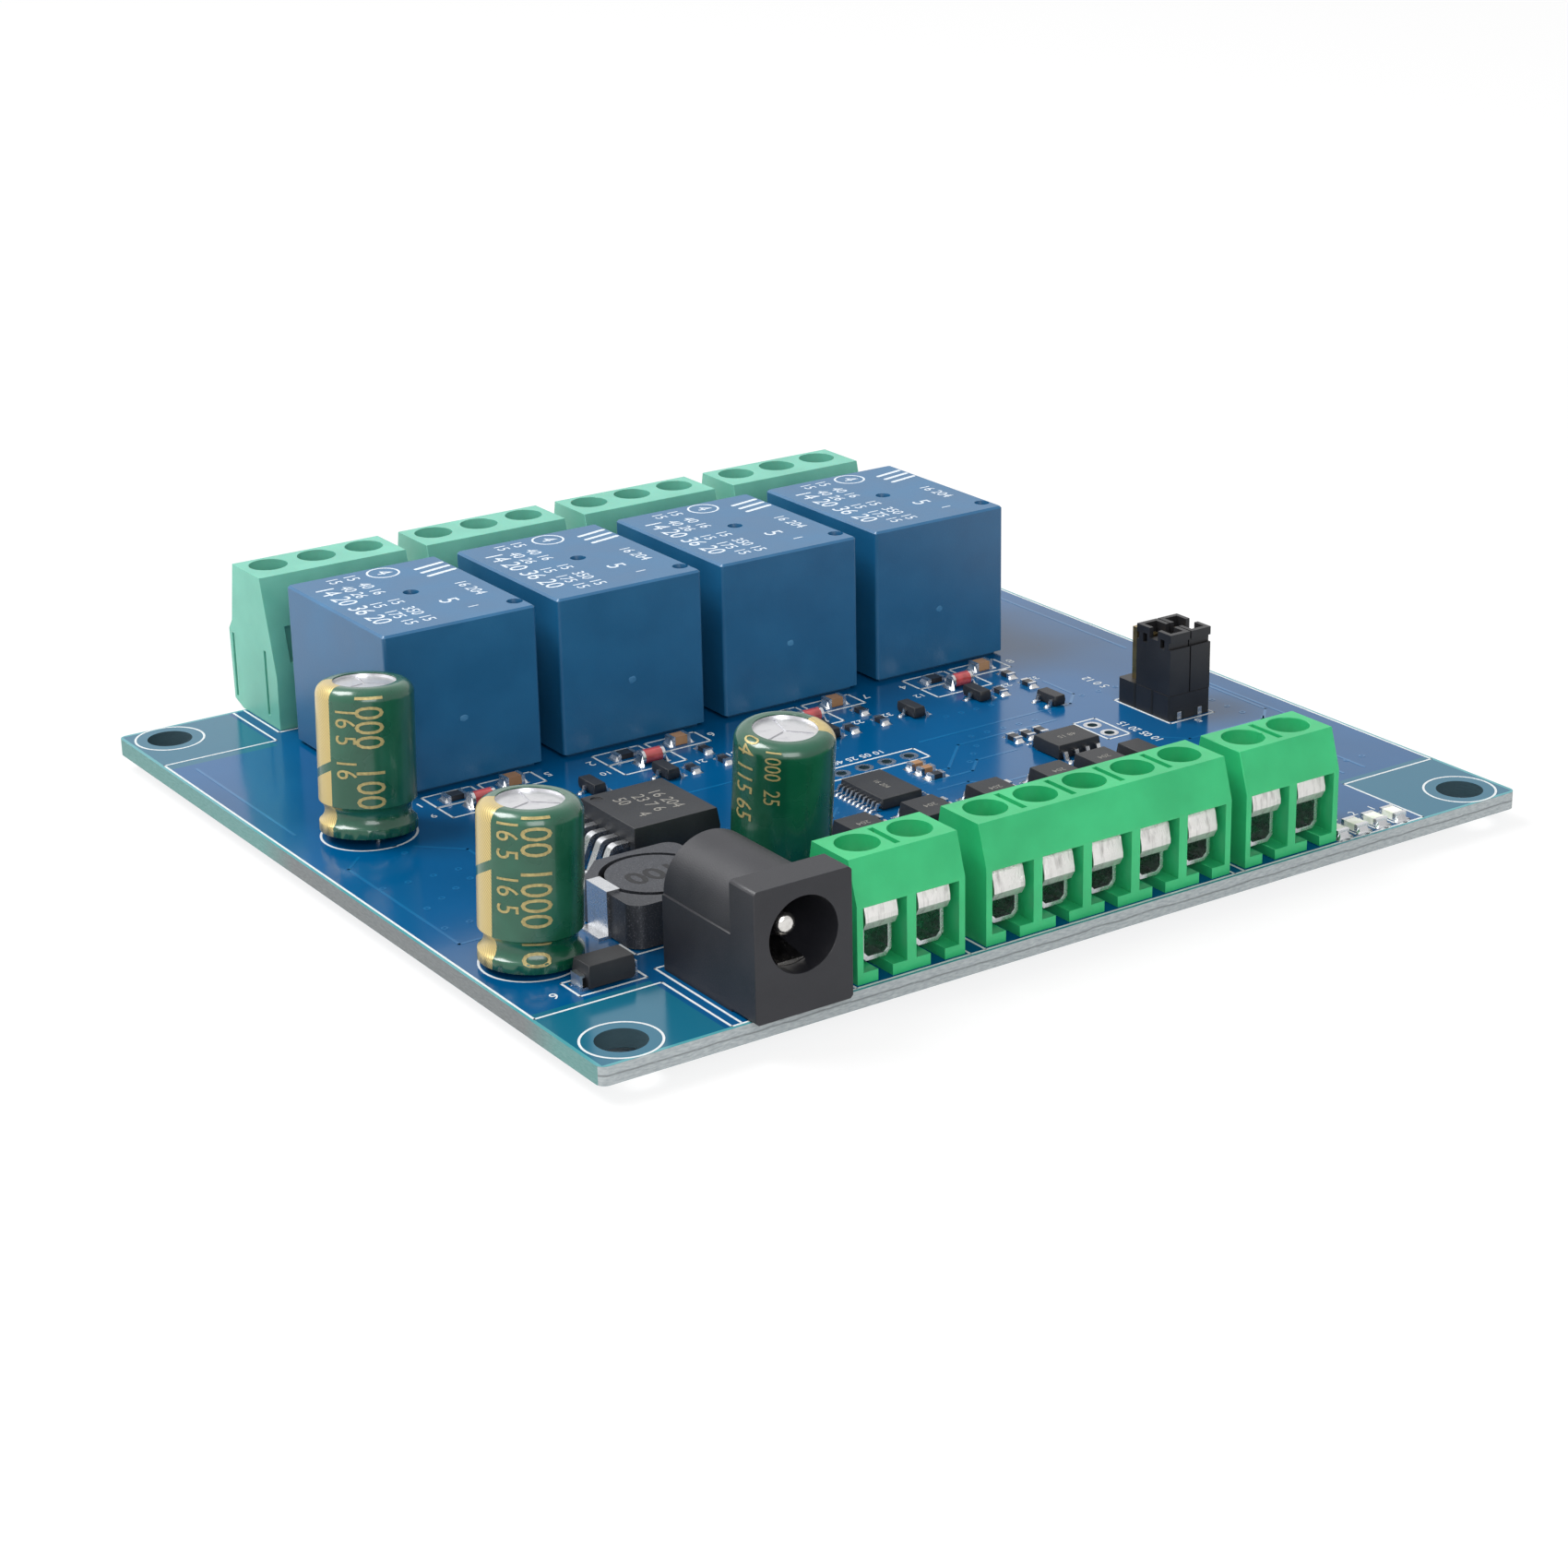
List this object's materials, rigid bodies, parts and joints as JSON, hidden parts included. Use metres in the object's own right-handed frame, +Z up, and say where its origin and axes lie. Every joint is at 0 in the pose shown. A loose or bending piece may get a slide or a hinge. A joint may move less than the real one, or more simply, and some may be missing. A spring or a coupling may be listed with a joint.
{
  "type": "relay module board",
  "caption": "Circuit board with a row of blue relays, green screw terminals along two edges, a round power jack and a jumper header.",
  "frame": {"origin": "middle of the four mounting holes, on the underside of the board", "axes": "+X along the front edge with the jack at the left, +Y from the jack towards the relays, +Z up"},
  "size_m": [0.0952, 0.0923, 0.0185],
  "materials": {
    "board_laminate": "glossy blue solder mask on glass-fibre laminate",
    "relay_case": "blue moulded case with a soft sheen",
    "terminal_plastic": "green moulded plastic",
    "jack_plastic": "charcoal moulded plastic",
    "package_plastic": "black moulded epoxy",
    "header_plastic": "black plastic",
    "plated_steel": "bright zinc plate",
    "tinned_metal": "tinned",
    "nickel_plate": "polished nickel",
    "gold_plate": "thin gold plate",
    "can_aluminium": "drawn aluminium",
    "sleeve_film": "dark green shrunk film",
    "bung_rubber": "black rubber",
    "ferrite": "dark grey pressed ferrite",
    "copper_wire": "enamelled copper",
    "red_glass": "red glass tube",
    "resistor_ceramic": "black glaze on ceramic",
    "capacitor_ceramic": "brown ceramic",
    "light_resin": "pale clear resin"
  },
  "bodies": {
    "root": {"bus_terminal_housing": "terminal_plastic", "capacitor_1_can": "can_aluminium", "capacitor_1_sleeve": "sleeve_film", "capacitor_2_can": "can_aluminium", "capacitor_2_sleeve": "sleeve_film", "capacitor_3_can": "can_aluminium", "capacitor_3_sleeve": "sleeve_film", "capacitor_bungs": "bung_rubber", "capacitor_leads": "tinned_metal", "chip_capacitors": "capacitor_ceramic", "chip_end_caps": "tinned_metal", "chip_resistors": "resistor_ceramic", "circuit_board": "board_laminate", "diode_bodies": "package_plastic", "diode_leads": "tinned_metal", "front_terminal_contacts": "tinned_metal", "front_terminal_plates": "plated_steel", "front_terminal_screws": "plated_steel", "glass_diodes": "red_glass", "header_base": "header_plastic", "header_pins": "gold_plate", "indicator_lights": "light_resin", "inductor_clips": "tinned_metal", "inductor_drum": "ferrite", "inductor_shield": "ferrite", "inductor_winding": "copper_wire", "input_terminal_housing": "terminal_plastic", "jack_body": "jack_plastic", "jack_center_pin": "nickel_plate", "jack_contacts": "nickel_plate", "jumper_cap_1": "header_plastic", "jumper_cap_2": "header_plastic", "jumper_clips": "gold_plate", "optocoupler_bodies": "package_plastic", "optocoupler_leads": "tinned_metal", "output_terminal_1_housing": "terminal_plastic", "output_terminal_2_housing": "terminal_plastic", "output_terminal_3_housing": "terminal_plastic", "output_terminal_4_housing": "terminal_plastic", "output_terminal_contacts": "tinned_metal", "output_terminal_plates": "plated_steel", "output_terminal_screws": "plated_steel", "power_terminal_housing": "terminal_plastic", "processor_body": "package_plastic", "processor_leads": "tinned_metal", "regulator_body": "package_plastic", "regulator_lead_frame": "tinned_metal", "relay_1_base": "relay_case", "relay_1_cover": "relay_case", "relay_2_base": "relay_case", "relay_2_cover": "relay_case", "relay_3_base": "relay_case", "relay_3_cover": "relay_case", "relay_4_base": "relay_case", "relay_4_cover": "relay_case", "relay_pins": "tinned_metal", "transceiver_body": "package_plastic", "transceiver_leads": "tinned_metal", "transistor_bodies": "package_plastic", "transistor_leads": "tinned_metal"}
  },
  "joints": []
}
